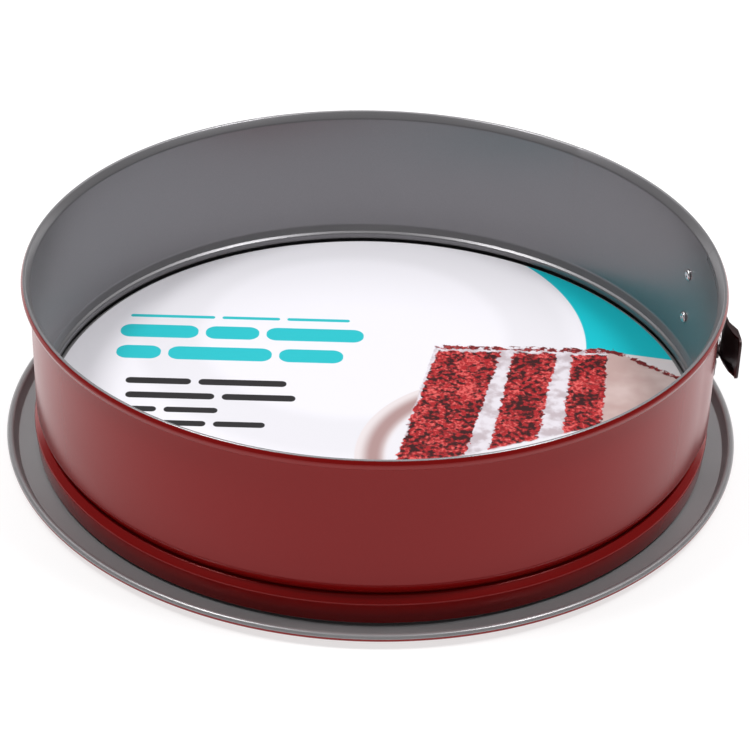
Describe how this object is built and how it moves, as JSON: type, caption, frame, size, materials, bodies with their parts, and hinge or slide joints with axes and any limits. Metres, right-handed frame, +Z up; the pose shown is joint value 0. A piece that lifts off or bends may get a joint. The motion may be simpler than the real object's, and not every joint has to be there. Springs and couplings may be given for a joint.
{
  "type": "springform pan",
  "caption": "Round springform cake pan: loose base with a raised floor and rolled edge, a band with a rolled rim and bead, and an over-centre lever latch.",
  "frame": {"origin": "centre of the base plate's underside", "axes": "+Z up out of the pan, +X towards the latch, which is turned 8 degrees from +X towards +Y"},
  "size_m": [0.2858, 0.286, 0.0725],
  "materials": {
    "red_coating": "satin metallic dark red coating outside, grey non-stick inside",
    "base_coating": "satin grey non-stick coating on top, dark red underneath",
    "latch_coating": "satin dark coating",
    "steel": "bright plain steel",
    "card": "coated printed card"
  },
  "bodies": {
    "base": {"base_plate": "base_coating"},
    "card": {"base_card": "card"},
    "ring_rear": {"band_rear": "red_coating"},
    "ring_hook_arm": {"band_hook_side": "red_coating", "hook_plate": "latch_coating", "hook_rivet_upper": "steel", "hook_rivet_lower": "steel"},
    "ring_lever_arm": {"band_lever_side": "red_coating", "lever_bracket": "latch_coating", "pivot_pin": "steel", "bracket_rivet_upper": "steel", "bracket_rivet_lower": "steel"},
    "latch_lever": {"lever": "latch_coating", "link_pin": "steel"}
  },
  "joints": [
    {"name": "ring_lift", "type": "slide", "parent": "base", "child": "ring_rear", "axis": [0, 0, 1], "range_m": [0, 0.09]},
    {"name": "card_lift", "type": "slide", "parent": "base", "child": "card", "axis": [0, 0, 1], "range_m": [0, 0.1]},
    {"name": "hook_arm_spread", "type": "hinge", "parent": "ring_rear", "child": "ring_hook_arm", "pos_m": [-0.13018, 0.0091, 0], "axis": [0, 0, 1], "range_deg": [0, 1.21]},
    {"name": "lever_arm_spread", "type": "hinge", "parent": "ring_rear", "child": "ring_lever_arm", "pos_m": [-0.12263, -0.04463, 0], "axis": [0, 0, 1], "range_deg": [-1.21, 0]},
    {"name": "lever_swing", "type": "hinge", "parent": "ring_lever_arm", "child": "latch_lever", "pos_m": [0.13486, 0.01693, 0.0404], "axis": [0, 0, 1], "range_deg": [0, 170]}
  ],
  "couplings": [
    {"joint": "hook_arm_spread", "follows": "lever_swing", "ratio": 0.0071},
    {"joint": "lever_arm_spread", "follows": "lever_swing", "ratio": -0.0071}
  ]
}
